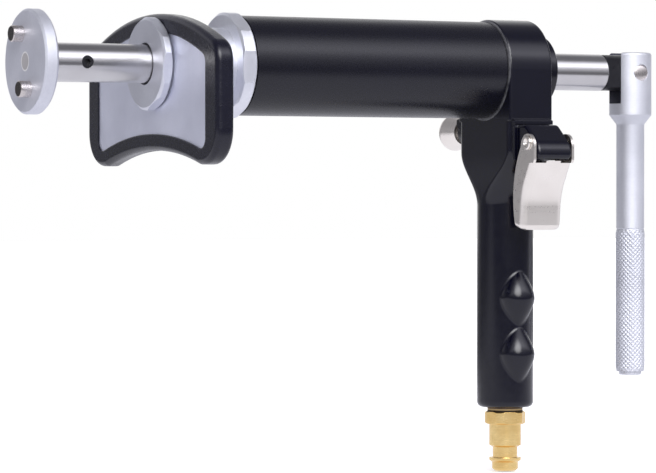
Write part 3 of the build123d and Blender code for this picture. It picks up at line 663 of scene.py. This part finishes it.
def makeSpring(node, s):
    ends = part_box(node)
    low, high = ends
    mesh = coilMesh(node + "Coil", s, low, high)
    piece = newPiece(node + "Coil", mesh, springWire, "tool_body")
    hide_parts(node)
    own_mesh(piece)


for node, spring in springs.items():
    makeSpring(node, spring)
print("springs wound:", len(springs))

# plain studio: pale table, white backdrop, soft light above the front, a lamp near the camera,
# dark ceiling; lengths in metres, angles in degrees
studio = {
    "tableTint": (0.86, 0.86, 0.87), "tableGlow": 0.5, "tableSheen": 0.95, "tableFront": -0.42,
    "tableBack": 0.60, "tableFade": 0.07, "tableHalf": 6.0, "tableCells": 8, "tableX": 0.12,
    "tableGap": 0.0006, "dark": 0.22, "peak": 3.2, "cool": (0.965, 0.965, 1.055),
    # angle up from the front horizon, over the top to the back horizon, and the light from there
    "arc": ((0, 0.18), (11, 0.40), (20, 0.68), (27, 1.15), (32, 2.2), (37, 2.9), (42, 2.7), (48, 2.1),
            (54, 1.8), (60, 1.28), (67, 0.42), (75, 0.05), (84, 0.0), (98, 0.0), (118, 0.04),
            (135, 0.18), (150, 0.62), (163, 0.72), (172, 0.14), (180, 0.0)),
    # bearing from the front, height, half width and brightness
    "lamp": {"bearing": -20.0, "height": 31.0, "inner": 11.0, "outer": 24.0, "level": 6.0},
    # bearing from the back and half width
    "drop": {"bearing": 28.0, "inner": 15.0, "outer": 50.0},
}
white = (1, 1, 1, 1)


# rays that should meet the white backdrop: from the camera, a gloss or a clear piece
def backdropRays(tree):
    path = add(tree, "LightPath").outputs
    seen = both(tree, path["Is Camera Ray"], path["Is Glossy Ray"], "MAXIMUM")
    return both(tree, seen, path["Is Transmission Ray"], "MAXIMUM"), path["Is Camera Ray"]


def mixOf(tree, share, first, second):
    mixed = add(tree, "MixShader", {"Fac": share})
    tree.links.new(first, mixed.inputs[1])
    tree.links.new(second, mixed.inputs[2])
    return mixed.outputs["Shader"]


# matte to the light, paler to the camera, and bright in reflections between its front and back
def makeTableFinish():
    material = bpy.data.materials.new("paleTable")
    material.use_nodes = True
    tree = material.node_tree
    tree.nodes.clear()
    matte = add(tree, "BsdfDiffuse", {"Color": (*studio["tableTint"], 1.0)}).outputs["BSDF"]
    glow = add(tree, "Emission", {"Color": white, "Strength": studio["tableGlow"]})
    pale = add(tree, "AddShader")
    tree.links.new(matte, pale.inputs[0])
    tree.links.new(glow.outputs["Emission"], pale.inputs[1])
    depth = partsOf(tree, spotOf(tree))["Y"]
    lit = within(tree, depth, studio["tableFront"], studio["tableBack"], studio["tableFade"])
    near = span(tree, lit, studio["dark"], studio["tableSheen"], 0.0, 1.0)
    sheen = add(tree, "Emission", {"Color": (*studio["cool"], 1.0), "Strength": near})
    seen, camera = backdropRays(tree)
    shown = mixOf(tree, camera, sheen.outputs["Emission"], pale.outputs["Shader"])
    out = add(tree, "OutputMaterial")
    tree.links.new(mixOf(tree, seen, matte, shown), out.inputs["Surface"])
    return material


def makeTable():
    bm = bmesh.new()
    cells = studio["tableCells"]
    bmesh.ops.create_grid(bm, x_segments=cells, y_segments=cells, size=studio["tableHalf"])
    mesh = keepMesh(bm, "table")
    mesh.materials.append(makeTableFinish())
    table = bpy.data.objects.new("table", mesh)
    table.location = (studio["tableX"], 0, cadLow.z - studio["tableGap"])
    scene.collection.objects.link(table)


# share of a round patch of the room: 1 inside its inner angle, 0 outside its outer one
def roundPatch(tree, way, aim, patch, level):
    outer, inner = math.cos(math.radians(patch["outer"])), math.cos(math.radians(patch["inner"]))
    return span(tree, facing(tree, way, aim), 0.0, level, outer, inner)


# light that changes only with the angle over the object, weaker towards both ends of the room
def arcLight(tree, parts):
    ahead = both(tree, parts["Y"], -1.0)
    angle = both(tree, parts["Z"], ahead, "ARCTAN2")
    ramp = add(tree, "ValToRGB", {"Fac": span(tree, angle, 0.0, 1.0, 0.0, math.pi)})
    bands = ramp.color_ramp.elements
    for degrees, _ in studio["arc"][1:-1]:
        bands.new(degrees / 180)
    for band, (degrees, level) in zip(bands, studio["arc"]):
        band.position = degrees / 180
        band.color = (*[level / studio["peak"]] * 3, 1.0)
    inward = both(tree, 1.0, both(tree, parts["X"], parts["X"]), "SUBTRACT")
    glow = vectors(tree, ramp.outputs["Color"], studio["cool"], "MULTIPLY")
    glow = add(tree, "VectorMath", {0: glow, "Scale": inward}, operation="SCALE").outputs["Vector"]
    dark = tuple(share * studio["dark"] / studio["peak"] for share in studio["cool"])
    return vectors(tree, glow, dark, "ADD")


def makeRoom():
    world = bpy.data.worlds.new("studio")
    world.use_nodes = True
    tree = world.node_tree
    tree.nodes.clear()
    way = add(tree, "TexCoord").outputs["Generated"]
    room = arcLight(tree, partsOf(tree, way))
    lamp, drop = studio["lamp"], studio["drop"]
    bearing, height = math.radians(lamp["bearing"]), math.radians(lamp["height"])
    aim = (math.sin(bearing) * math.cos(height), -math.cos(bearing) * math.cos(height),
           math.sin(height))
    beam = roundPatch(tree, way, aim, lamp, lamp["level"] / studio["peak"])
    shine = add(tree, "CombineXYZ", {"X": beam, "Y": beam, "Z": beam}).outputs["Vector"]
    room = vectors(tree, room, shine, "ADD")
    light = add(tree, "Background", {"Color": room, "Strength": studio["peak"]})
    backdrop = add(tree, "Background", {"Color": white, "Strength": 1.0})
    behind = math.radians(drop["bearing"])
    patch = roundPatch(tree, way, (math.sin(behind), math.cos(behind), 0.0), drop, 1.0)
    seen, camera = backdropRays(tree)
    share = both(tree, both(tree, seen, patch), camera, "MAXIMUM")
    mixed = mixOf(tree, share, light.outputs["Background"], backdrop.outputs["Background"])
    out = add(tree, "OutputWorld")
    tree.links.new(mixed, out.inputs["Surface"])
    scene.world = world


makeTable()
makeRoom()
print("studio made")

# camera placed as the photograph was taken: a long lens, a little below the spindle;
# place, lens and sensor in millimetres, frame and shift in pixels, far end in metres
eye = {"place": (-468.3142, -1094.923, -45.6733), "yaw": 28.1082, "dip": 0.6717, "lens": 192.07,
       "sensor": 36.0, "frame": 656.0, "shift": (-0.35, 0.75), "farEnd": 100.0}


def makeCamera():
    data = bpy.data.cameras.new("camera")
    data.lens = eye["lens"]
    data.sensor_width = eye["sensor"]
    data.shift_x = eye["shift"][0] / eye["frame"]
    data.shift_y = eye["shift"][1] / eye["frame"]
    data.clip_end = eye["farEnd"]
    camera = bpy.data.objects.new("camera", data)
    camera.location = Vector(eye["place"]) * mm
    yaw, dip = math.radians(eye["yaw"]), math.radians(eye["dip"])
    ahead = Vector((math.sin(yaw) * math.cos(dip), math.cos(yaw) * math.cos(dip), -math.sin(dip)))
    camera.rotation_mode = "QUATERNION"
    camera.rotation_quaternion = ahead.to_track_quat("-Z", "Y")
    scene.collection.objects.link(camera)
    scene.camera = camera


makeCamera()
print("camera set")
